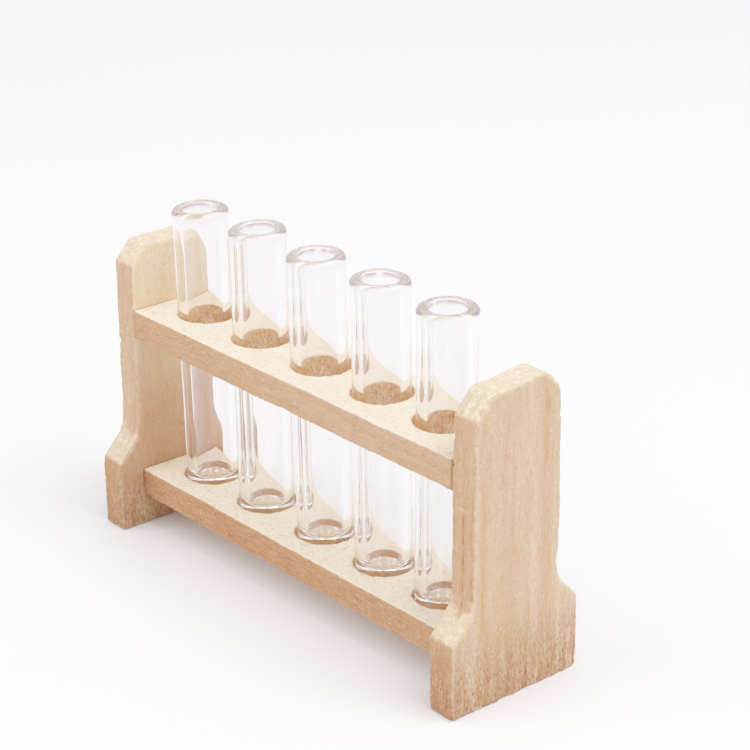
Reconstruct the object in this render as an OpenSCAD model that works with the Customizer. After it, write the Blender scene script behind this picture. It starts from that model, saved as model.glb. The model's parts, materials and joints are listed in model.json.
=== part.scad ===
// Dollhouse-scale test tube rack: four glued wooden boards holding a row of loose glass tubes.
// Millimetres, +Z up. The origin is on the ground under the middle of the rack, X runs along
// the row of tubes, and Y is the rack's depth.

/* [Rack] */
// Length of the rack over both end panels
rack_len = 48; // [44:0.5:60]
// Thickness of each end panel
panel_t = 2.7; // [2:0.1:4]
// Height of the end panels
panel_h = 27.1; // [26:0.1:34]

/* [End panel outline] */
// Depth of the foot, front to back
foot_depth = 13.7; // [12:0.1:18]
// Height of the foot's upright sides
foot_side_h = 6.7; // [5:0.1:8]
// Depth of the waist just above the foot
neck_depth = 9.1; // [8.6:0.1:11]
// Height where the cove has run into the waist
cove_top = 10.1; // [9.6:0.1:13]
// Tilt of the cove's lower slope from upright, in degrees
cove_slope = 45; // [38:1:52]
// Depth of the panel where the top corners start
shoulder_depth = 8.8; // [8:0.1:10]
// Height where the top corners start
shoulder_h = 25.4; // [24:0.1:25.9]
// Depth of the flat top edge
crown_depth = 5.6; // [4:0.1:7]

/* [Shelves] */
// Height of the tube shelf's top face
tube_shelf_top = 21.2; // [18:0.1:23]
// Thickness of the tube shelf
tube_shelf_t = 2.7; // [2:0.1:3.5]
// Depth of the tube shelf
tube_shelf_depth = 9.0; // [8:0.1:9.6]
// Height of the base shelf's top face
base_shelf_top = 5.5; // [4.5:0.1:8]
// Thickness of the base shelf
base_shelf_t = 2.6; // [2:0.1:3.5]
// Depth of the base shelf
base_shelf_depth = 8.6; // [8:0.1:10]

/* [Drilled holes] */
// Diameter of the drill for the through holes and the recesses
hole_d = 5.1; // [5.05:0.01:5.4]
// Depth of the recess that each tube stands in
recess_depth = 1.05; // [0.3:0.05:1.4]
// Even spacing of the holes along the rack
tube_pitch = 7.95; // [6.5:0.05:8.5]
// How far the middle hole sits towards -X from the middle of the rack
row_shift = 0.5; // [0:0.1:1]
// How far the row of holes sits behind the middle of the boards
row_back = 0.2; // [0:0.1:0.5]

/* [Test tubes] */
// Outside diameter of the tube
tube_od = 4.95; // [4.6:0.01:4.98]
// Outside diameter over the rounded lip
lip_d = 5.05; // [5:0.01:5.2]
// Diameter of the bore
bore_d = 3.2; // [2.4:0.1:3.6]
// Length of the shortest tube
tube_len = 26.55; // [20:0.05:34]
// Thickness of the glass floor
floor_t = 1.05; // [0.6:0.05:2]
// Rounding of the outside bottom edge
heel_r = 0.3; // [0.2:0.05:2]
// Rounding where the bore meets its floor
bore_heel_r = 0.7; // [0.3:0.05:1]

/* [Hidden] */

TUBES = [0 : 4];
MIDDLE_TUBE = 2;
// The holes were marked out by hand: how far each one is off its even place
hole_wander = [-0.1, -0.1, 0.2, 0.15, -0.1];
// The tubes were cut by hand: how much longer each one is than the shortest
length_wander = [0.1, 0.3, 0.1, 0.2, 0];
// Smoothness of round surfaces
ROUND = 64;
// Extra reach of a cutting shape past the face that it cuts
CUT = 1;

shelf_len = rack_len - 2 * panel_t;
recess_floor = base_shelf_top - recess_depth;
lip_r = (lip_d - bore_d) / 4;
// Height where the foot's slope would meet the waist without the cove's round
waist_h = foot_side_h + (foot_depth - neck_depth) / 2 / tan(cove_slope);

function hole_x(i) = (i - MIDDLE_TUBE) * tube_pitch - row_shift + hole_wander[i];
function length_of(i) = tube_len + length_wander[i];

// Half of the panel's outline with a sharp waist, y measured from the middle
module half_outline() {
    polygon([
        [0, 0],
        [foot_depth / 2, 0],
        [foot_depth / 2, foot_side_h],
        [neck_depth / 2, waist_h],
        [shoulder_depth / 2, shoulder_h],
        [crown_depth / 2, panel_h],
        [0, panel_h]
    ]);
}

// The round fillet that turns the sharp waist into a cove
module cove_fillet() {
    tangent = cove_top - waist_h;
    r = tangent / tan(cove_slope / 2);
    difference() {
        polygon([
            [neck_depth / 2, cove_top],
            [shoulder_depth / 2 - tangent, waist_h - tangent],
            [neck_depth / 2 + tangent * sin(cove_slope), waist_h - tangent * cos(cove_slope)]
        ]);
        translate([neck_depth / 2 + r, cove_top])
            circle(r, $fn = ROUND);
    }
}

// An end panel standing on its foot, its inner face at x = 0 and its thickness towards +X
module end_panel() {
    rotate([90, 0, 90])
        linear_extrude(panel_t)
            for (side = [0, 1])
                mirror([side, 0]) {
                    half_outline();
                    cove_fillet();
                }
}

// A plain board between the end panels, its top face at height top
module shelf(top, thickness, depth) {
    translate([-shelf_len / 2, -depth / 2, top - thickness])
        cube([shelf_len, depth, thickness]);
}

// The row of round holes, cut down from above to the height bottom
module drilled_row(bottom, depth) {
    for (i = TUBES)
        translate([hole_x(i), row_back, bottom])
            cylinder(d = hole_d, h = depth, $fn = ROUND);
}

module end_panel_left() {
    color("wheat")
        mirror([1, 0, 0])
            translate([shelf_len / 2, 0, 0])
                end_panel();
}

module end_panel_right() {
    color("wheat")
        translate([shelf_len / 2, 0, 0])
            end_panel();
}

module tube_shelf() {
    color("burlywood")
        difference() {
            shelf(tube_shelf_top, tube_shelf_t, tube_shelf_depth);
            drilled_row(tube_shelf_top - tube_shelf_t - CUT, tube_shelf_t + 2 * CUT);
        }
}

module base_shelf() {
    color("burlywood")
        difference() {
            shelf(base_shelf_top, base_shelf_t, base_shelf_depth);
            drilled_row(recess_floor, recess_depth + CUT);
        }
}

// A quarter disc below and to the right of its centre, so a rounding may be wider than half a tube
module rounded_corner(r) {
    intersection() {
        circle(r, $fn = ROUND);
        translate([0, -r])
            square(r);
    }
}

// The solid outline of a tube's right half: rounded heel, straight wall and rounded lip
module tube_outline(length) {
    square([tube_od / 2 - heel_r, heel_r]);
    translate([tube_od / 2 - heel_r, heel_r])
        rounded_corner(heel_r);
    translate([0, heel_r])
        square([tube_od / 2, length - lip_r - heel_r]);
    translate([bore_d / 2 + lip_r, length - lip_r])
        circle(lip_r, $fn = ROUND);
}

// The bore's right half: rounded floor, open through the mouth
module bore_outline(length) {
    translate([0, floor_t])
        square([bore_d / 2 - bore_heel_r, bore_heel_r]);
    translate([bore_d / 2 - bore_heel_r, floor_t + bore_heel_r])
        rounded_corner(bore_heel_r);
    translate([0, floor_t + bore_heel_r])
        square([bore_d / 2, length]);
}

module test_tube(i) {
    color([0.85, 0.93, 0.95, 0.4])
        translate([hole_x(i), row_back, recess_floor])
            rotate_extrude($fn = ROUND)
                difference() {
                    tube_outline(length_of(i));
                    bore_outline(length_of(i));
                }
}

end_panel_left();
end_panel_right();
tube_shelf();
base_shelf();
test_tube(0);  // test_tube_1
test_tube(1);  // test_tube_2
test_tube(2);  // test_tube_3
test_tube(3);  // test_tube_4
test_tube(4);  // test_tube_5
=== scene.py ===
"""The looks of a dollhouse-scale test tube rack: hand-sanded boards and thick-walled glass tubes."""

import json
import math

import bpy
import numpy as np
from mathutils import Matrix, Vector


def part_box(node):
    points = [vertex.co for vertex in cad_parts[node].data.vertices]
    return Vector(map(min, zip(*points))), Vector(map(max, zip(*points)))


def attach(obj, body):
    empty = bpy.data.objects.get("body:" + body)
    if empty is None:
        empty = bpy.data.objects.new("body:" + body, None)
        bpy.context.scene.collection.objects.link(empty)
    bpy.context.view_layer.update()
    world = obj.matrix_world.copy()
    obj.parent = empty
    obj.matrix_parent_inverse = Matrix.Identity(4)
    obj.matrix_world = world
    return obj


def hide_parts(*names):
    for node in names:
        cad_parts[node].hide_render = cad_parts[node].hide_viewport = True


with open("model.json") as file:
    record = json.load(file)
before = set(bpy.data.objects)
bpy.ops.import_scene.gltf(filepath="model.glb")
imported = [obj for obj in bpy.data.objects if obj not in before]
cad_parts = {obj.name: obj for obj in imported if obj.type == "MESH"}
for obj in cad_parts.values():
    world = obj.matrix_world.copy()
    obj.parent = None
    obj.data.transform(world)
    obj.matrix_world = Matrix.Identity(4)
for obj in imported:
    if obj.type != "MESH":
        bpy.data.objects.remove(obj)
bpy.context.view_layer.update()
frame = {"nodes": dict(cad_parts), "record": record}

MM = 0.001

# ---------------------------------------------------------------- driving values, in millimetres

# The grid that the boards are carved on: its step across the grain and along it
STEP_ACROSS = 0.09
STEP_ALONG = 0.14
MARGIN = 3  # empty cells round a board

# Sanding: how far corners of the outline and edges of the faces are rounded
CORNER_SANDING = 0.17
WORN_CORNER_SANDING = 0.75
EDGE_RADIUS = 0.13
EDGE_RADIUS_WANDER = 0.07
CHIP_RADIUS = 0.28
HANDLED_RADIUS = 0.13  # extra rounding of the panels' upper part
END_RADIUS = 0.07
JOINT_OVERLAP = 0.09  # how far a shelf is let into each end panel, so that no daylight shows

# How far the relief and loose fibres stand out
RELIEF_LIMIT = 0.05
FIBRE_LENGTH = 0.22
FIBRE_THICKNESS = 0.018
FIBRE_CORNERS = (0, 2.094, 4.189)  # a fibre's three corners round its middle, in radians
FIBRE_RINGS = 4

# Drilled holes, compared with the CAD's running fit
HOLE_EASE = 0.09
HOLE_WOBBLE = 0.035
RIM_TEAR = 0.16

# Glass
RING_POINTS = 96
ARC_POINTS = 14
WALL_RINGS = 26
HEEL_R = 0.3
BORE_HEEL_R = 0.7
FLOOR_T = 1.05
LIP_BULGE = 0.05  # how far the fire-polished lip stands out, and in
LIP_OUTER_R = 0.46
LIP_INNER_R = 0.24
LEAN_PIVOT = 9.5  # height about which a tube leans in its holes
UNEVEN_REACH = 1.2  # how far below its mouth a tube is uneven
LIP_REACH = 0.75  # how far below its mouth the lip's softer finish starts
MOUTH_LOW = 0.36  # depths between which the mouth's inner edge gets a painted reflection
MOUTH_HIGH = 0.13


# ---------------------------------------------------------------- noise and meshes

MASK = 0xFFFFFFFF


def hashed(i, j, k, seed):
    """A repeatable number from -1 to 1 for each lattice point."""
    h = (i * 374761393 + j * 668265263 + k * 1440662683 + seed * 1274126177) & MASK
    h = ((h ^ (h >> 13)) * 1274126177) & MASK
    return (h ^ (h >> 16)) / (MASK / 2) - 1


def noise(points, cell, seed):
    """Smooth noise from -1 to 1 at each point; cell is its grain size along each axis."""
    q = np.asarray(points) / np.asarray(cell, float)
    base = np.floor(q).astype(np.int64)
    f = q - base
    f = f * f * (3 - 2 * f)
    total = 0
    for corner in np.ndindex(2, 2, 2):
        weight = 1
        for axis in range(3):
            weight = weight * (f[..., axis] if corner[axis] else 1 - f[..., axis])
        total = total + weight * hashed(*(base[..., a] + corner[a] for a in range(3)), seed)
    return total


def smoothstep(low, high, value):
    t = np.clip((value - low) / (high - low), 0, 1)
    return t * t * (3 - 2 * t)


def surface_net(field, origin, step):
    """The surface where a field on a grid is 0 as (vertices, quads), with the solid where it is negative."""
    inside = field < 0
    cells = tuple(n - 1 for n in field.shape)

    def shifted(array, corner):
        return array[tuple(slice(c, c + n) for c, n in zip(corner, cells))]

    corners = list(np.ndindex(2, 2, 2))
    count = sum(shifted(inside, c).astype(np.int8) for c in corners)
    active = (count > 0) & (count < 8)
    where = np.argwhere(active)
    number = np.full(cells, -1, np.int64)
    number[active] = np.arange(len(where))
    values = {c: shifted(field, c)[active] for c in corners}
    total, crossings = np.zeros((len(where), 3)), np.zeros(len(where))
    for a in corners:
        for axis in range(3):
            if a[axis]:
                continue
            b = tuple(1 if i == axis else a[i] for i in range(3))
            cut = (values[a] < 0) != (values[b] < 0)
            share = values[a][cut] / (values[a][cut] - values[b][cut])
            point = np.tile(np.array(a, float), (len(share), 1))
            point[:, axis] += share
            total[cut] += point
            crossings[cut] += 1
    vertices = origin + (where + total / crossings[:, None]) * step
    quads = []
    for axis in range(3):
        u, v = (axis + 1) % 3, (axis + 2) % 3
        low = [slice(1, -1)] * 3
        low[axis] = slice(0, -1)
        high = list(low)
        high[axis] = slice(1, None)
        first, second = inside[tuple(low)], inside[tuple(high)]
        at = np.argwhere(first != second)
        outward = first[first != second]
        at[:, u] += 1
        at[:, v] += 1
        ring = []
        for du, dv in ((-1, -1), (0, -1), (0, 0), (-1, 0)):
            cell = at.copy()
            cell[:, u] += du
            cell[:, v] += dv
            ring.append(number[tuple(cell.T)])
        quad = np.stack(ring, axis=1)
        quad[~outward] = quad[~outward][:, ::-1]
        quads.append(quad)
    return vertices, np.concatenate(quads)


def mesh_object(name, vertices, faces, attributes=None):
    """A smooth-shaded object from vertices in millimetres, with a float attribute for each named array."""
    mesh = bpy.data.meshes.new(name)
    sizes = np.array([len(f) for f in faces])
    loops = np.concatenate([np.asarray(f) for f in faces])
    mesh.vertices.add(len(vertices))
    mesh.vertices.foreach_set("co", (np.asarray(vertices) * MM).ravel())
    mesh.loops.add(len(loops))
    mesh.loops.foreach_set("vertex_index", loops.astype(np.int32))
    mesh.polygons.add(len(sizes))
    mesh.polygons.foreach_set("loop_start", np.concatenate([[0], np.cumsum(sizes)[:-1]]).astype(np.int32))
    mesh.update(calc_edges=True)
    mesh.validate()
    mesh.shade_smooth()
    for key, values in (attributes or {}).items():
        layer = mesh.attributes.new(key, "FLOAT", "POINT")
        layer.data.foreach_set("value", np.asarray(values, np.float32))
    piece = bpy.data.objects.new(name, mesh)
    bpy.context.scene.collection.objects.link(piece)
    return piece


def vertex_normals(vertices, quads):
    """Area-weighted normals of a quad mesh."""
    across = vertices[quads[:, 2]] - vertices[quads[:, 0]]
    along = vertices[quads[:, 3]] - vertices[quads[:, 1]]
    face = np.cross(across, along)
    normals = np.zeros_like(vertices)
    for corner in range(4):
        for axis in range(3):
            normals[:, axis] += np.bincount(quads[:, corner], face[:, axis], len(vertices))
    return normals / np.maximum(np.linalg.norm(normals, axis=1, keepdims=True), 1e-12)


# ---------------------------------------------------------------- boards

def box_mm(node):
    """A CAD node's lowest and highest corners, in millimetres."""
    low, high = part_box(node)
    return np.array(low) / MM, np.array(high) / MM


def half_profile(node):
    """An end panel's half depth at each height where its outline turns, read from the CAD node."""
    points = np.array([v.co for v in frame["nodes"][node].data.vertices]) / MM
    heights = np.round(points[:, 2], 3)
    levels = np.unique(heights)
    return levels, np.array([points[heights == z, 1].max() for z in levels])


def outline_distance(outline, y, z):
    """Distance from each point to a closed outline, negative inside."""
    nearest, inside = np.full(y.shape, np.inf), np.zeros(y.shape, bool)
    for (y0, z0), (y1, z1) in zip(outline, np.roll(outline, -1, axis=0)):
        dy, dz = y1 - y0, z1 - z0
        share = np.clip(((y - y0) * dy + (z - z0) * dz) / max(dy * dy + dz * dz, 1e-12), 0, 1)
        nearest = np.minimum(nearest, np.hypot(y - y0 - share * dy, z - z0 - share * dz))
        if dz:
            crosses = ((z0 <= z) != (z1 <= z)) & (y < y0 + (z - z0) * dy / dz)
            inside ^= crosses
    return np.where(inside, -nearest, nearest)


def blurred(field, radii):
    """A field softened by a bell curve with the given radius in cells along each axis."""
    for axis, radius in enumerate(radii):
        reach = int(math.ceil(3 * radius))
        weights = np.exp(-0.5 * (np.arange(-reach, reach + 1) / radius) ** 2)
        weights /= weights.sum()
        pad = [(reach, reach) if a == axis else (0, 0) for a in range(field.ndim)]
        padded = np.pad(field, pad, mode="reflect", reflect_type="odd")
        length = field.shape[axis]
        field = sum(w * np.take(padded, range(i, i + length), axis=axis) for i, w in enumerate(weights))
    return field


def grid_over(low, high, steps):
    """Grid lines along each axis that run a little past a box, and the grid's origin."""
    start = low - MARGIN * steps
    counts = np.ceil((high - low) / steps).astype(int) + 2 * MARGIN + 1
    return [start[a] + steps[a] * np.arange(counts[a]) for a in range(3)], start


def rounded(a, b, radius):
    """Distance to the overlap of two solids whose shared edge is rounded."""
    a, b = a + radius, b + radius
    return np.minimum(np.maximum(a, b), 0) + np.hypot(np.maximum(a, 0), np.maximum(b, 0)) - radius


def fibres(vertices, normals, along, chance, rng, length, thickness):
    """Thin torn fibres that stand on a board: (vertices, triangles)."""
    roots = np.flatnonzero(rng.random(len(vertices)) < chance)
    points, faces = [], []
    for root in roots:
        lean = normals[root] + along * rng.normal(0, 1.0) + rng.normal(0, 0.5, 3)
        lean /= np.linalg.norm(lean)
        curl = rng.normal(0, 0.5, 3)
        reach = length * rng.uniform(0.4, 1.3)
        side = np.cross(lean, rng.normal(0, 1, 3))
        side /= np.linalg.norm(side)
        other = np.cross(lean, side)
        start = len(points)
        rings = FIBRE_RINGS
        base = vertices[root] - normals[root] * 0.04
        for i in range(rings):
            t = i / rings
            centre = base + (lean * t + curl * t * t * 0.5) * reach
            radius = thickness * (1 - 0.75 * t)
            for turn in FIBRE_CORNERS:
                points.append(centre + radius * (side * math.cos(turn) + other * math.sin(turn)))
        points.append(base + (lean + curl * 0.5) * reach)
        tip = start + 3 * rings
        faces.append([start + 2, start + 1, start])
        for i in range(rings - 1):
            for k in range(3):
                a, b = start + 3 * i + k, start + 3 * i + (k + 1) % 3
                faces.append([a, b, b + 3])
                faces.append([a, b + 3, a + 3])
        for k in range(3):
            faces.append([tip - 3 + k, tip - 3 + (k + 1) % 3, tip])
    return np.array(points).reshape(-1, 3), faces


def finish_board(name, vertices, quads, along, masks, seed):
    """Adds a board's relief and loose fibres, and returns the object.

    masks(points, normals) gives the named attributes, among them edge, hole and end_grain."""
    normals = vertex_normals(vertices, quads)
    marks = masks(vertices, normals)
    grain = np.where(along > 0.5, 4.0, 0.24)
    fine = np.where(along > 0.5, 1.2, 0.16)
    torn = np.minimum(marks["end_grain"] + 0.9 * marks["hole"], 1)
    planed = 1 - torn
    relief = 0.030 * noise(vertices, (3.1, 3.1, 3.1), seed)
    relief += planed * 0.010 * noise(vertices, grain, seed + 1)
    relief -= planed * 0.040 * smoothstep(0.45, 0.85, noise(vertices, fine, seed + 2))
    relief += planed * 0.030 * smoothstep(0.50, 0.85, noise(vertices, fine, seed + 6))
    relief += planed * 0.010 * noise(vertices, (0.26, 0.26, 0.26), seed + 7)
    relief += torn * 0.045 * noise(vertices, (0.22, 0.22, 0.22), seed + 3)
    relief += torn * 0.030 * noise(vertices, (0.45, 0.45, 0.45), seed + 4)
    ragged = 0.035 + 0.04 * smoothstep(0.8, 0.2, vertices[:, 2])
    relief += marks["edge"] * ragged * noise(vertices, (0.32, 0.32, 0.32), seed + 5)
    relief = np.minimum(relief, RELIEF_LIMIT)
    vertices = vertices + normals * relief[:, None]
    rng = np.random.default_rng(seed)
    fuzz = 0.007 * marks["edge"] + 0.005 * marks["end_grain"] + 0.006 * marks["rim"] + 0.0004
    fuzz = fuzz * (STEP_ACROSS / 0.09) ** 2 * (vertices[:, 2] > FIBRE_LENGTH)
    points, faces = fibres(vertices, normals, along, fuzz, rng, FIBRE_LENGTH, FIBRE_THICKNESS)
    faces = quads.tolist() + [[i + len(vertices) for i in f] for f in faces]
    marks = {key: np.concatenate([v, np.zeros(len(points))]) for key, v in marks.items()}
    marks["fibre"] = np.concatenate([np.zeros(len(vertices)), np.ones(len(points))])
    vertices = np.concatenate([vertices, points])
    vertices[:, 2] = np.maximum(vertices[:, 2], 0)
    return mesh_object(name, vertices, faces, marks)


def end_panel(name, node, seed, outward, worn_corner, streaks, rear_swell=0.0, crown_tilt=0.0):
    """An end panel carved along the CAD outline, with sanded edges and end-grain coves.

    rear_swell is how much the upper part bulges at the back, and crown_tilt how much the crown rises
    towards the back."""
    low, high = box_mm(node)
    steps = np.array([STEP_ACROSS, STEP_ACROSS, STEP_ALONG])
    (xs, ys, zs), origin = grid_over(low, high, steps)
    levels, depths = half_profile(node)
    outline = np.concatenate([np.stack([depths, levels], 1), np.stack([-depths, levels], 1)[::-1]])

    def from_outline(y, z):
        swell = rear_swell * smoothstep(-1, 4, y) * smoothstep(8.5, 15, z)
        return outline_distance(outline, y - swell, z - crown_tilt * y / 3 * smoothstep(16, 26, z))

    y, z = np.meshgrid(ys, zs, indexing="ij")
    sharp = from_outline(y, z)
    plane = blurred(sharp, CORNER_SANDING / steps[1:])
    worn = blurred(sharp, WORN_CORNER_SANDING / steps[1:])
    at_corner = smoothstep(2.6, 1.0, np.hypot(y - worn_corner[0], z - worn_corner[1]))
    plane = plane + (worn - plane) * at_corner
    flat = np.stack([np.zeros_like(y), y, z], axis=-1)
    plane = plane + 0.045 * noise(flat, (1, 1.9, 1.9), seed + 10)
    plane = plane + 0.022 * noise(flat, (1, 0.45, 0.45), seed + 11)
    radius = EDGE_RADIUS + EDGE_RADIUS_WANDER * noise(flat, (1, 1.4, 1.4), seed + 12)
    radius = radius + CHIP_RADIUS * smoothstep(0.35, 0.9, noise(flat, (1, 0.8, 0.8), seed + 13))
    radius = radius + HANDLED_RADIUS * smoothstep(8, 12, z)
    middle, half = (low[0] + high[0]) / 2, (high[0] - low[0]) / 2
    face = (np.abs(xs - middle) - half)[:, None, None]
    vertices, quads = surface_net(rounded(plane[None], face, radius[None]), origin, steps)

    def masks(points, normals):
        depth = -from_outline(points[:, 1], points[:, 2])
        rise = (from_outline(points[:, 1], points[:, 2] + 0.1) + depth) / 0.1
        frayed = smoothstep(0.55, 0.05, depth + 0.22 * noise(points, (0.5, 0.5, 0.7), seed + 21))
        frayed = frayed * smoothstep(0.3, 0.6, rise) * smoothstep(-0.8, 0.1, -np.abs(normals[:, 2]))
        across = half - np.abs(points[:, 0] - middle)
        upward = np.abs(normals[:, 2]) + 0.30 * noise(points, (0.45, 0.45, 0.6), seed + 22)
        edge = 1 - smoothstep(0.04, 0.30, np.maximum(depth, across))
        stain = np.zeros(len(points))
        on_face = {
            "outer": (smoothstep(0.3, 0.8, normals[:, 0] * outward), points[:, 1]),
            "front": (smoothstep(0.3, 0.8, -normals[:, 1]), points[:, 0] - middle),
        }
        for side, where, width, bottom, top, strength in streaks:
            shown, place = on_face[side]
            waver = 0.12 * noise(points, (9, 9, 3.5), seed + 20)
            line = np.exp(-(((place - where - waver) / width) ** 2))
            reach = smoothstep(bottom, bottom + 2, points[:, 2]) * smoothstep(top, top - 3, points[:, 2])
            stain = np.maximum(stain, strength * line * reach * shown)
        return {
            "edge": edge,
            "end_grain": np.maximum(smoothstep(0.16, 0.66, upward), 0.8 * frayed),
            "hole": np.zeros(len(points)),
            "rim": np.zeros(len(points)),
            "joint": np.zeros(len(points)),
            "inner": smoothstep(0.3, 0.8, -normals[:, 0] * outward),
            "stain": stain,
        }

    return finish_board(name, vertices, quads, np.array([0, 0, 1.0]), masks, seed)


def shelf(name, node, seed, holes, floor_z=None):
    """A shelf with hand-drilled holes, or recesses down to floor_z. holes is a list of (x, y, radius)."""
    low, high = box_mm(node)
    steps = np.array([STEP_ALONG, STEP_ACROSS, STEP_ACROSS])
    (xs, ys, zs), origin = grid_over(low, high, steps)
    middle, half = (low + high) / 2, (high - low) / 2
    edge_points = np.stack(np.meshgrid(xs, ys, [0.0], indexing="ij"), axis=-1)
    radius = EDGE_RADIUS + EDGE_RADIUS_WANDER * noise(edge_points, (1.7, 9, 1), seed + 12)
    radius = radius + CHIP_RADIUS * smoothstep(0.4, 0.9, noise(edge_points, (0.9, 9, 1), seed + 13))
    wave = 0.04 * noise(edge_points, (4.0, 9, 1), seed + 10)
    wave = wave + 0.022 * noise(edge_points, (0.5, 9, 1), seed + 11)
    side = (np.abs(ys - middle[1]) - half[1])[None, :, None] + wave
    face = (np.abs(zs - middle[2]) - half[2])[None, None, :]
    end = (np.abs(xs - middle[0]) - half[0] - JOINT_OVERLAP)[:, None, None]
    field = rounded(rounded(side, face, radius), end, END_RADIUS)
    for number, (hx, hy, r) in enumerate(holes):
        near = np.flatnonzero(np.abs(xs - hx) < r + 1)
        part = slice(near[0], near[-1] + 1)
        x, y, z = np.meshgrid(xs[part], ys, zs, indexing="ij")
        off = np.hypot(x - hx, y - hy)
        turn = np.arctan2(y - hy, x - hx)
        round_points = np.stack([3 * np.cos(turn), 3 * np.sin(turn), z], axis=-1)
        torn = smoothstep(0.45, 0.0, high[2] - z) + smoothstep(0.45, 0.0, z - low[2])
        wall = r + HOLE_EASE + HOLE_WOBBLE * noise(round_points, (1.3, 1.3, 0.5), seed + 31 + number)
        wall = wall + RIM_TEAR * torn * np.abs(noise(round_points, (0.45, 0.45, 0.6), seed + 41 + number))
        cut = wall - off
        if floor_z is not None:
            ragged = 0.05 * np.abs(noise(np.stack([x, y, x * 0], axis=-1), (0.4, 0.4, 1), seed + 51))
            cut = np.minimum(cut, z - floor_z + 0.02 + ragged)
        field[part] = np.maximum(field[part], cut)
    vertices, quads = surface_net(field, origin, steps)

    def masks(points, normals):
        off = np.min([np.hypot(points[:, 0] - hx, points[:, 1] - hy) - r for hx, hy, r in holes], axis=0)
        top = high[2] - points[:, 2]
        bottom = points[:, 2] - low[2]
        inner = smoothstep(0.30, 0.12, off) * smoothstep(0.02, 0.14, np.minimum(top, bottom))
        rim = smoothstep(0.40, 0.15, off) * (1 - smoothstep(0.1, 0.25, np.minimum(top, bottom)))
        side_depth = half[1] - np.abs(points[:, 1] - middle[1])
        face_depth = half[2] - np.abs(points[:, 2] - middle[2])
        edge = 1 - smoothstep(0.04, 0.30, np.maximum(side_depth, face_depth))
        return {
            "edge": edge,
            "end_grain": smoothstep(0.45, 0.8, np.abs(normals[:, 0])) * (1 - inner),
            "hole": inner,
            "rim": rim,
            "joint": smoothstep(0.20, 0.04, half[0] - np.abs(points[:, 0] - middle[0])),
            "inner": np.zeros(len(points)),
            "stain": np.zeros(len(points)),
        }

    return finish_board(name, vertices, quads, np.array([1.0, 0, 0]), masks, seed)


# ---------------------------------------------------------------- glass tubes

def arc(centre, radius, start, end, count=ARC_POINTS):
    """Points on an arc between two angles in degrees."""
    turns = np.radians(np.linspace(start, end, count))
    return [(centre[0] + radius * math.cos(t), centre[1] + radius * math.sin(t)) for t in turns]


def tube_profile(length, lip, bore):
    """A tube's half section from the middle of its underside, round the lip, to the middle of its floor."""
    wall, mouth = lip - LIP_BULGE, bore - LIP_BULGE
    path = [(0.0, 0.06), (0.3, 0.05), (0.6, 0.03)]
    path += arc((wall - HEEL_R, HEEL_R), HEEL_R, -86, 0)
    path += [(wall, z) for z in np.linspace(HEEL_R, length - 1.6, WALL_RINGS)[1:]]
    path += [(wall + LIP_BULGE * share, length - 1.6 + 1.1 * t) for t, share in ((0.4, 0.15), (0.7, 0.5))]
    path += arc((lip - LIP_OUTER_R, length - LIP_OUTER_R), LIP_OUTER_R, 0, 84)
    path += arc((mouth + LIP_INNER_R, length - 0.03 - LIP_INNER_R), LIP_INNER_R, 90, 180)
    path += [(bore - LIP_BULGE * share, length - 0.3 - 0.8 * t) for t, share in ((0.4, 0.6), (0.8, 0.15))]
    floor = FLOOR_T + BORE_HEEL_R
    path += [(bore, z) for z in np.linspace(length - 1.4, floor, WALL_RINGS)]
    path += arc((bore - BORE_HEEL_R, floor), BORE_HEEL_R, 0, -90)[1:]
    path += [(0.5, FLOOR_T - 0.02), (0.0, FLOOR_T - 0.03)]
    return path


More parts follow.
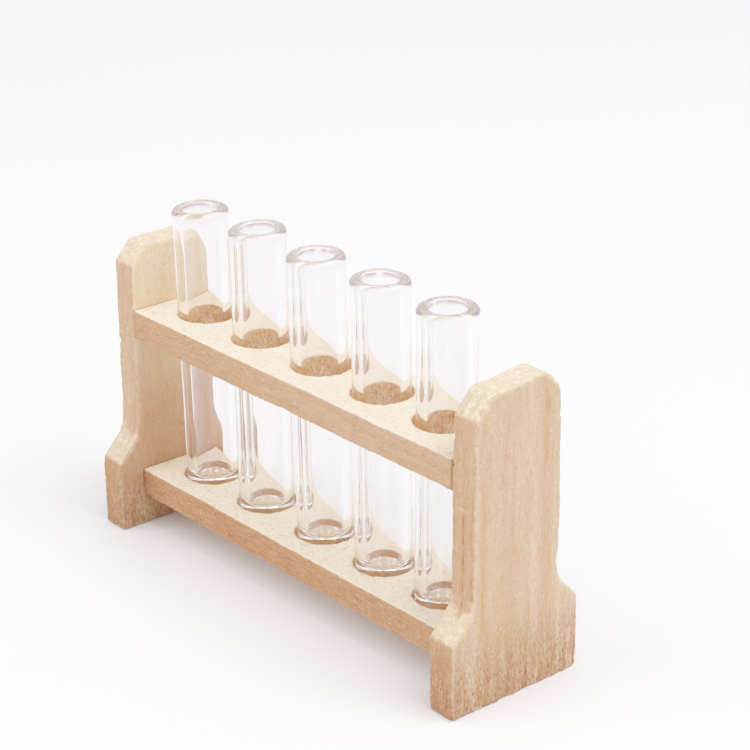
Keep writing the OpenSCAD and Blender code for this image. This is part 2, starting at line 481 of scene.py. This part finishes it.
def test_tube(name, node, bore, seed, lean, rim_tilt):
    """A thick-walled tube with a fire-polished lip, turned with the small unevenness of drawn glass."""
    low, high = box_mm(node)
    centre = np.array([(low[0] + high[0]) / 2, (low[1] + high[1]) / 2])
    length = high[2] - low[2]
    lip = (high[0] - low[0]) / 2
    path = tube_profile(length, lip, bore)
    turns = np.arange(RING_POINTS) * 2 * math.pi / RING_POINTS
    points, lip_marks, mouth_marks = [], [], []
    for radius, z in path[1:-1]:
        ring = np.stack([np.cos(turns), np.sin(turns), np.zeros(RING_POINTS)], axis=1)
        sample = ring * 1.6 + [0, 0, z]
        inner = radius <= bore + 1e-6 and z > FLOOR_T - 0.1
        wobble = 0.006 * noise(sample, (2, 2, 7), seed)
        if inner:
            wobble = wobble + 0.008 * noise(sample, (1.2, 1.2, 3), seed + 1)
        near_lip = smoothstep(length - UNEVEN_REACH, length - 0.1, z)
        wobble = wobble + near_lip * 0.020 * noise(sample, (1.1, 1.1, 2), seed + 2)
        wobble = wobble + near_lip * 0.014 * noise(sample, (0.45, 0.45, 0.5), seed + 5)
        reach = radius + wobble
        ring_points = ring * reach[:, None]
        sag = near_lip * (0.035 * noise(sample * [1, 1, 0], (1.2, 1.2, 1), seed + 3) - 0.04)
        tilt = near_lip * (ring_points[:, 0] * rim_tilt[0] + ring_points[:, 1] * rim_tilt[1])
        at_floor = inner and z < FLOOR_T + BORE_HEEL_R
        floor_wave = 0.03 * noise(ring_points, (0.7, 0.7, 9), seed + 4) if at_floor else 0
        ring_points[:, 2] = z + sag + tilt + floor_wave
        points.append(ring_points)
        lip_marks += [smoothstep(length - LIP_REACH, length - 0.45, z)] * RING_POINTS
        at_mouth = radius < bore + 0.05 and length - MOUTH_LOW < z < length - MOUTH_HIGH
        mouth_marks += [float(at_mouth)] * RING_POINTS
    count = len(points)
    vertices = np.concatenate(points + [[[0, 0, path[0][1]], [0, 0, path[-1][1]]]])
    vertices[:, 2] += low[2]
    above = vertices[:, 2] - LEAN_PIVOT
    vertices[:, 0] += centre[0] + above * lean[0]
    vertices[:, 1] += centre[1] + above * lean[1]
    faces = []
    after = [(k + 1) % RING_POINTS for k in range(RING_POINTS)]
    for i in range(count - 1):
        a, b = i * RING_POINTS, (i + 1) * RING_POINTS
        faces += [[a + k, a + after[k], b + after[k], b + k] for k in range(RING_POINTS)]
    under, floor = count * RING_POINTS, count * RING_POINTS + 1
    last = (count - 1) * RING_POINTS
    faces += [[under, after[k], k] for k in range(RING_POINTS)]
    faces += [[floor, last + k, last + after[k]] for k in range(RING_POINTS)]
    return mesh_object(name, vertices, faces, {"lip": lip_marks + [0, 0], "mouth": mouth_marks + [0, 0]})


# ---------------------------------------------------------------- materials

def rgb(red, green, blue):
    """A linear colour from 0 to 255 display values."""
    def linear(v):
        v /= 255
        return v / 12.92 if v <= 0.04045 else ((v + 0.055) / 1.055) ** 2.4
    return (linear(red), linear(green), linear(blue), 1.0)


class Shader:
    """Builds one material's node tree."""

    def __init__(self, name):
        self.material = bpy.data.materials.new(name)
        self.material.use_nodes = True
        self.tree = self.material.node_tree
        self.tree.nodes.clear()

    def add(self, kind, inputs=None, **settings):
        node = self.tree.nodes.new(kind)
        for key, value in settings.items():
            setattr(node, key, value)
        for key, value in (inputs or {}).items():
            if isinstance(value, bpy.types.NodeSocket):
                self.tree.links.new(value, node.inputs[key])
            else:
                node.inputs[key].default_value = value
        return node

    def maths(self, operation, a, b=0.0, c=0.0):
        return self.add("ShaderNodeMath", {0: a, 1: b, 2: c}, operation=operation).outputs[0]

    def attribute(self, name):
        return self.add("ShaderNodeAttribute", attribute_name=name).outputs["Fac"]

    def stretched(self, cell, offset=0.0):
        """Object coordinates in cells of the given size in millimetres along X, Y and Z."""
        where = self.add("ShaderNodeTexCoord").outputs["Object"]
        scale = tuple(1 / (c * MM) for c in cell)
        place = (offset, offset * 1.7, offset * 0.6)
        mapping = self.add("ShaderNodeMapping", {"Vector": where, "Scale": scale, "Location": place})
        return mapping.outputs[0]

    def noise(self, cell, offset=0.0, detail=2.0, roughness=0.5, distortion=0.0):
        return self.add("ShaderNodeTexNoise", {
            "Vector": self.stretched(cell, offset), "Scale": 1.0, "Detail": detail,
            "Roughness": roughness, "Distortion": distortion,
        }).outputs["Fac"]

    def dashes(self, cell, offset, reach, share):
        """Short marks, one in some of the cells: 1 in a mark and 0 outside."""
        spots = self.add("ShaderNodeTexVoronoi", {"Vector": self.stretched(cell, offset), "Scale": 1.0})
        mark = self.band(spots.outputs["Distance"], reach, reach * 0.4)
        pick = self.add("ShaderNodeSeparateColor", {"Color": spots.outputs["Color"]}).outputs[0]
        return self.maths("MULTIPLY", mark, self.maths("LESS_THAN", pick, share))

    def band(self, value, low, high):
        """0 at low and 1 at high, smooth between them. low may be the larger."""
        flip = low > high
        node = self.add("ShaderNodeMapRange", {
            "Value": value, "From Min": min(low, high), "From Max": max(low, high),
            "To Min": 1.0 if flip else 0.0, "To Max": 0.0 if flip else 1.0,
        }, interpolation_type="SMOOTHSTEP")
        return node.outputs[0]

    def blend(self, share, a, b, mode="MIX"):
        return self.add(
            "ShaderNodeMix", {0: share, 6: a, 7: b}, data_type="RGBA", blend_type=mode
        ).outputs[2]

    def scaled(self, value, factor):
        return self.maths("MULTIPLY", value, factor)

    def output(self, surface):
        self.add("ShaderNodeOutputMaterial", {"Surface": surface})
        return self.material


CREAM = rgb(214, 186, 156)
TAN = rgb(195, 162, 128)
PINK = rgb(201, 166, 144)
HONEY = rgb(184, 138, 94)
UMBER = rgb(138, 92, 58)
PALE = rgb(246, 232, 210)
# Near-white: painted light on the faces that look up, and pale patches of the end grain
NEAR_WHITE = rgb(251, 235, 209)
END_CREAM = rgb(228, 203, 170)
DRILLED = rgb(228, 176, 124)
SCORCHED = rgb(178, 122, 76)
STREAK = rgb(180, 116, 60)
# Sawn browns: the sawn faces' own colour, also used for painted shade
SAWN_AND_SHADE = rgb(189, 137, 96)
SAWN_AND_SHADE_DARK = rgb(162, 109, 70)
# Brown that the wood darkens to towards the bottom
LOW_BROWN = rgb(168, 120, 88)
# Painted reflection at a tube's mouth
MOUTH_REFLECTION = rgb(164, 122, 126)
GLASS_EDGE = rgb(236, 230, 230)
# Painted light on the upper part of the inner faces
PAINTED_LIGHT_CREAM = rgb(246, 224, 184)


def wood(name, along, seed, sawn_and_shade, shade_fade, painted_top_light=0.0, darkening_height=0.0, scorched=1.0):
    """Bare pale wood. along is the axis of the grain. sawn_and_shade darkens the faces that look along Y,
    partly the browner sawn wood and partly painted shade, growing as a painted shade gradient from the
    first to the second place of shade_fade along the grain. painted_top_light pales the faces that look up
    as painted light, darkening_height is how far up the wood darkens towards the bottom, and scorched
    is how dark the drill left its holes."""
    s = Shader(name)

    def cell(across, lengthwise):
        return tuple(lengthwise if axis == along else across for axis in range(3))

    bands = s.band(s.noise(cell(1.9, 60), seed, 3, 0.55), 0.34, 0.68)
    colour = s.blend(bands, CREAM, TAN)
    blush = s.band(s.noise(cell(1.4, 9), seed + 2, 3, 0.6), 0.46, 0.70)
    colour = s.blend(s.scaled(blush, 0.7), colour, PINK)
    streaks = s.band(s.noise(cell(0.40, 9), seed + 3, 4, 0.65), 0.50, 0.78)
    colour = s.blend(s.scaled(streaks, 0.40), colour, HONEY)
    clouds = s.band(s.noise(cell(0.6, 1.4), seed + 8, 5, 0.75), 0.42, 0.66)
    colour = s.blend(s.scaled(clouds, 0.32), colour, HONEY)
    grains = s.band(s.noise(cell(0.22, 0.45), seed + 4, 4, 0.75), 0.46, 0.66)
    threads = s.band(s.noise(cell(0.11, 1.2), seed + 5, 3, 0.75), 0.50, 0.70)
    colour = s.blend(s.scaled(threads, 0.20), colour, UMBER)
    pores = s.dashes(cell(0.34, 1.6), seed + 7, 0.24, 0.30)
    long_pores = s.dashes(cell(0.6, 5.0), seed + 9, 0.14, 0.25)
    all_pores = s.maths("MAXIMUM", pores, long_pores)
    colour = s.blend(s.scaled(all_pores, 0.42), colour, UMBER)
    mottle = s.noise((0.5, 0.5, 0.5), seed + 13, 4, 0.65)
    speckle = s.noise((0.15, 0.15, 0.15), seed + 15, 3, 0.65)
    place = s.add("ShaderNodeSeparateXYZ", {"Vector": s.add("ShaderNodeTexCoord").outputs["Object"]})
    normal = s.add("ShaderNodeNewGeometry").outputs["Normal"]
    facing = s.add("ShaderNodeSeparateXYZ", {"Vector": normal})
    # Faces that look along Y darken to a sawn brown: partly the sawn wood's own colour, partly painted shade.
    # The fade along the grain is painted shade.
    sides = s.band(s.maths("ABSOLUTE", facing.outputs[1]), 0.45, 0.95)
    fade = s.band(place.outputs[along], shade_fade[0] * MM, shade_fade[1] * MM)
    sides = s.maths("MULTIPLY", sides, s.maths("MULTIPLY_ADD", fade, 0.5, 0.5))
    cuts = s.band(s.noise(cell(0.15, 1.3), seed + 19, 4, 0.7), 0.36, 0.68)
    colour = s.blend(s.scaled(sides, sawn_and_shade), colour, s.blend(cuts, SAWN_AND_SHADE, SAWN_AND_SHADE_DARK))
    # Painted light: the faces that look up pale towards near-white.
    tops = s.maths("MULTIPLY", s.band(facing.outputs[2], 0.6, 0.95), s.band(mottle, 0.15, 0.50))
    colour = s.blend(s.scaled(tops, painted_top_light), colour, NEAR_WHITE)
    # Painted shade darkens the inner faces below 19 mm, and painted light pales their upper part.
    inner = s.attribute("inner")
    shaded = s.scaled(s.band(place.outputs[2], 19 * MM, 9 * MM), 0.55)
    colour = s.blend(s.maths("MULTIPLY", inner, shaded), colour, SAWN_AND_SHADE)
    painted_light = s.scaled(s.band(place.outputs[2], 11 * MM, 20 * MM), 0.42)
    colour = s.blend(s.maths("MULTIPLY", inner, painted_light), colour, PAINTED_LIGHT_CREAM)
    colour = s.blend(s.scaled(grains, 0.26), colour, HONEY)
    flecks = s.dashes(cell(0.20, 0.9), seed + 11, 0.26, 0.10)
    colour = s.blend(s.scaled(flecks, 0.32), colour, PALE)
    colour = s.blend(s.scaled(s.band(speckle, 0.52, 0.72), 0.28), colour, PALE)
    broken = s.band(s.noise(cell(0.20, 1.3), seed + 17, 5, 0.8), 0.34, 0.60)
    patches = s.maths("MULTIPLY_ADD", s.band(s.noise(cell(1.5, 5.0), seed + 18, 2, 0.6), 0.35, 0.6), 0.5, 0.5)
    stain = s.maths("MULTIPLY", s.attribute("stain"), s.maths("MULTIPLY", broken, patches))
    colour = s.blend(stain, colour, STREAK)
    colour = s.blend(s.scaled(s.band(stain, 0.50, 0.90), 0.7), colour, UMBER)
    end_colour = s.blend(s.scaled(s.band(speckle, 0.42, 0.70), 0.6), END_CREAM, TAN)
    end_colour = s.blend(s.scaled(s.band(mottle, 0.46, 0.66), 0.65), end_colour, NEAR_WHITE)
    specks = s.band(s.noise((0.30, 0.30, 0.30), seed + 29, 2, 0.5), 0.68, 0.76)
    end_colour = s.blend(s.scaled(specks, 0.6), end_colour, UMBER)
    colour = s.blend(s.scaled(s.attribute("end_grain"), 0.9), colour, end_colour)
    # The wood darkens towards the bottom in patches, with umber blotches and cream specks.
    if darkening_height:
        low = s.band(place.outputs[2], darkening_height * MM, 0.0)
        low_patches = s.maths("MULTIPLY", low, s.band(s.noise(cell(0.55, 5.0), seed + 25, 4, 0.7), 0.34, 0.62))
        colour = s.blend(s.scaled(low_patches, 0.85), colour, LOW_BROWN)
        blotch = s.band(s.noise(cell(0.22, 0.50), seed + 21, 5, 0.8), 0.46, 0.62)
        colour = s.blend(s.scaled(s.maths("MULTIPLY", low, blotch), 0.9), colour, UMBER)
        chalk = s.band(s.noise(cell(0.13, 0.8), seed + 23, 3, 0.7), 0.56, 0.72)
        colour = s.blend(s.scaled(s.maths("MULTIPLY", low, chalk), 0.55), colour, CREAM)
    worn = s.maths("MULTIPLY", s.attribute("edge"), s.band(mottle, 0.45, 0.60))
    colour = s.blend(s.scaled(worn, 0.16), colour, PALE)
    colour = s.blend(s.scaled(s.attribute("joint"), 0.7), colour, UMBER)
    drilled = s.blend(s.band(s.noise((0.22, 0.22, 0.4), seed + 27, 4, 0.7), 0.42, 0.62), DRILLED, SCORCHED)
    drilled = s.blend(s.scaled(s.band(speckle, 0.50, 0.66), 0.75), drilled, CREAM)
    colour = s.blend(s.scaled(s.attribute("hole"), scorched), colour, drilled)
    colour = s.blend(s.scaled(s.attribute("rim"), 0.2), colour, HONEY)
    colour = s.blend(s.attribute("fibre"), colour, PALE)
    height = s.maths("SUBTRACT", s.scaled(grains, -0.4), all_pores)
    height = s.maths("ADD", height, s.scaled(speckle, 1.2))
    bump = s.add("ShaderNodeBump", {"Height": height, "Strength": 0.7, "Distance": 0.00004})
    rough = s.add("ShaderNodeMapRange", {"Value": mottle, "To Min": 0.70, "To Max": 0.95}).outputs[0]
    surface = s.add("ShaderNodeBsdfPrincipled", {
        "Base Color": colour, "Roughness": rough, "Normal": bump.outputs[0], "Specular IOR Level": 0.25,
    })
    return s.output(surface.outputs[0])


def glass(name, seed):
    """Clear drawn glass, with faint handling haze and a softer lip. Lamps shine through it."""
    s = Shader(name)
    haze = s.noise((1.2, 1.2, 4.0), seed, 3)
    tint_and_reflection = s.blend(s.band(haze, 0.3, 0.7), rgb(252, 251, 251), rgb(249, 248, 248))
    facing = s.add("ShaderNodeLayerWeight", {"Blend": 0.5}).outputs["Facing"]
    tint_and_reflection = s.blend(s.scaled(s.band(facing, 0.72, 0.98), 0.6), tint_and_reflection, GLASS_EDGE)
    patchy = s.band(s.noise((0.7, 0.7, 0.7), seed + 4, 3), 0.30, 0.55)
    # Painted reflection: a patchy pinkish-brown ring at the mouth's inner edge, for light carried up the
    # glass from below.
    tint_and_reflection = s.blend(s.maths("MULTIPLY", s.attribute("mouth"), patchy), tint_and_reflection, MOUTH_REFLECTION)
    lip = s.attribute("lip")
    rough = s.add("ShaderNodeMapRange", {"Value": haze, "To Min": 0.0, "To Max": 0.035}).outputs[0]
    rough = s.maths("ADD", rough, s.scaled(lip, 0.20))
    crinkle = s.maths("MULTIPLY", lip, s.noise((0.45, 0.45, 0.45), seed + 6, 2))
    height = s.maths("ADD", s.noise((0.9, 0.9, 5.0), seed + 2, 1), s.scaled(crinkle, 3.0))
    ripple = s.add("ShaderNodeBump", {"Height": height, "Strength": 0.15, "Distance": 0.00004})
    body = s.add("ShaderNodeBsdfPrincipled", {
        "Base Color": tint_and_reflection, "Roughness": rough, "Normal": ripple.outputs[0],
        "Transmission Weight": 1.0, "IOR": 1.49,
    })
    clear = s.add("ShaderNodeBsdfTransparent", {"Color": (0.965, 0.97, 0.97, 1)})
    path = s.add("ShaderNodeLightPath")
    lighting = s.maths("MAXIMUM", path.outputs["Is Shadow Ray"], path.outputs["Is Diffuse Ray"])
    mixed = s.add("ShaderNodeMixShader", {0: lighting, 1: body.outputs[0], 2: clear.outputs[0]})
    return s.output(mixed.outputs[0])


def floor_finish():
    s = Shader("pale_floor")
    cloud = s.noise((60, 60, 60), 0, 2)
    colour = s.blend(cloud, rgb(243, 242, 244), rgb(246, 245, 247))
    surface = s.add("ShaderNodeBsdfPrincipled", {
        "Base Color": colour, "Roughness": 0.55, "Specular IOR Level": 0.2,
    })
    return s.output(surface.outputs[0])


# ---------------------------------------------------------------- the rack

X, Z = 0, 2
mouths = [m for m in frame["record"]["mounts"] if m["kind"] == "bore"]
tube_places = []
for i in range(1, 6):
    low, high = box_mm(f"test_tube_{i}")
    tube_places.append(((low[0] + high[0]) / 2, (low[1] + high[1]) / 2, (high[0] - low[0]) / 2))

# Stained streaks of an end panel's grain: face, place across it, width, bottom, top, strength
RIGHT_STREAKS = [
    ("front", 0.05, 0.17, 6.5, 25, 1.0),
    ("front", 0.10, 0.55, 7, 25, 0.40),
    ("front", 1.05, 0.26, 7, 24, 0.60),
    ("front", -1.15, 0.20, 12, 23, 0.55),
    ("outer", -3.6, 0.30, 6, 21, 0.45),
    ("outer", 1.4, 0.28, 3, 20, 0.35),
    ("outer", 3.1, 0.25, 18, 27, 0.55),
    ("outer", -0.4, 0.7, 2, 16, 0.15),
]
LEFT_STREAKS = [
    ("front", -0.6, 0.3, 1, 12, 0.5),
    ("front", 0.7, 0.3, 5, 24, 0.35),
    ("outer", -1.2, 0.3, 3, 20, 0.3),
    ("outer", 0.6, 0.25, 6, 26, 0.2),
]

right = end_panel("end_panel_right_board", "end_panel_right", 101, 1, (4.2, 26.2), RIGHT_STREAKS,
                  rear_swell=0.30, crown_tilt=0.25)
left = end_panel("end_panel_left_board", "end_panel_left", 202, -1, (-9.0, 40.0), LEFT_STREAKS)
upper = shelf("tube_shelf_board", "tube_shelf", 303, tube_places)
lower = shelf("base_shelf_board", "base_shelf", 404, tube_places, floor_z=box_mm("test_tube_1")[0][2])

# In these looks, the darkening of the faces that look along Y and its fade are partly painted shade, and the
# paling of the faces that look up is painted light.
panel_look = {"sawn_and_shade": 0.75, "shade_fade": (10, 5), "darkening_height": 9.0}
tube_shelf_look = {"sawn_and_shade": 0.75, "shade_fade": (24, -20), "painted_top_light": 0.75}
base_shelf_look = {"sawn_and_shade": 1.0, "shade_fade": (70, -12), "painted_top_light": 1.0, "scorched": 0.5}
for piece, node, slot, material in (
    (right, "end_panel_right", "panel_wood", wood("right_panel_wood", Z, 11.0, **panel_look)),
    (left, "end_panel_left", "panel_wood", wood("left_panel_wood", Z, 37.0, **panel_look)),
    (upper, "tube_shelf", "shelf_wood", wood("tube_shelf_wood", X, 53.0, **tube_shelf_look)),
    (lower, "base_shelf", "shelf_wood", wood("base_shelf_wood", X, 71.0, **base_shelf_look)),
):
    piece.data.materials.append(material)
    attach(piece, "rack")
    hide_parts(node)

# ---------------------------------------------------------------- the tubes

BODIES = ["first_tube", "second_tube", "third_tube", "fourth_tube", "fifth_tube"]
# How far each tube leans per millimetre of height, along X and Y
LEANS = [(-0.014, -0.006), (-0.004, -0.002), (-0.013, -0.006), (-0.003, 0.0), (0.011, 0.006)]
# How far each lip is out of level, along X and Y
RIM_TILTS = [(0.03, 0.02), (0.02, 0.03), (0.01, 0.015), (0.0, -0.02), (-0.015, 0.01)]

for i, body in enumerate(BODIES):
    node = f"test_tube_{i + 1}"
    bore = mouths[i]["dims"]["r_mm"]
    tube = test_tube(f"{node}_glass", node, bore, 500 + 10 * i, LEANS[i], RIM_TILTS[i])
    tube.data.materials.append(glass(f"{node}_glass", 5.0 + 7 * i))
    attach(tube, body)
    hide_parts(node)

# ---------------------------------------------------------------- floor, light and camera

FLOOR_SIZE = 6.0
floor_mesh = bpy.data.meshes.new("floor")
half = FLOOR_SIZE / 2
floor_mesh.from_pydata(
    [(-half, -half, -0.00002), (half, -half, -0.00002), (half, half, -0.00002), (-half, half, -0.00002)],
    [], [(0, 1, 2, 3)])
floor = bpy.data.objects.new("floor", floor_mesh)
floor.data.materials.append(floor_finish())
bpy.context.scene.collection.objects.link(floor)


def placed(azimuth, elevation, distance, aim):
    """A point round the aim, with azimuth 0 at the front (-Y) and turning towards +X, in degrees."""
    a, e = math.radians(azimuth), math.radians(elevation)
    direction = Vector((math.sin(a) * math.cos(e), -math.cos(a) * math.cos(e), math.sin(e)))
    return Vector(aim) + distance * direction


def lamp(name, azimuth, elevation, distance, size, power, colour):
    """A soft square lamp that looks at the rack."""
    light = bpy.data.lights.new(name, "AREA")
    light.size = size
    light.energy = power
    light.color = colour
    holder = bpy.data.objects.new(name, light)
    holder.location = placed(azimuth, elevation, distance, (0, 0, 0.015))
    holder.rotation_euler = (Vector((0, 0, 0.015)) - holder.location).to_track_quat("-Z", "Y").to_euler()
    bpy.context.scene.collection.objects.link(holder)


lamp("key", 108, 60, 0.6, 0.40, 1.7, (1.0, 0.985, 0.96))
lamp("fill", -25, 48, 0.6, 0.40, 0.7, (1.0, 0.985, 0.96))

world = bpy.data.worlds.new("studio")
bpy.context.scene.world = world
world.use_nodes = True
world.node_tree.nodes["Background"].inputs[0].default_value = (0.97, 0.97, 1.0, 1)
world.node_tree.nodes["Background"].inputs[1].default_value = 0.64

AIM = (-0.0033, 0.0086, 0.0169)
CAMERA_DISTANCE = 0.207
CAMERA_AZIMUTH = 49.98
CAMERA_ELEVATION = 22.76
CAMERA_ROLL = 0.72
camera_data = bpy.data.cameras.new("camera")
camera_data.lens = 112.57
camera_data.sensor_width = 36
camera_data.clip_start = 0.01
camera = bpy.data.objects.new("camera", camera_data)
camera.location = placed(CAMERA_AZIMUTH, CAMERA_ELEVATION, CAMERA_DISTANCE, AIM)
aimed = (Vector(AIM) - camera.location).to_track_quat("-Z", "Y").to_matrix()
camera.rotation_euler = (aimed @ Matrix.Rotation(math.radians(-CAMERA_ROLL), 3, "Z")).to_euler()
bpy.context.scene.collection.objects.link(camera)
bpy.context.scene.camera = camera

# Tone: a soft shoulder, so that bright faces pale as they do in a bright close-up
TONE_KNEE = 0.8
settings = bpy.context.scene.view_settings
settings.view_transform = "Standard"
settings.use_curve_mapping = True
curve = settings.curve_mapping.curves[3]
for x in (0.06, 0.15, 0.3, 0.5, 0.75):
    curve.points.new(x, (1 + TONE_KNEE) * x / (x + TONE_KNEE))
settings.curve_mapping.update()

cycles = bpy.context.scene.cycles
cycles.caustics_refractive = True
cycles.caustics_reflective = False
cycles.max_bounces = 64
cycles.glossy_bounces = 64
cycles.transmission_bounces = 64
cycles.transparent_max_bounces = 64
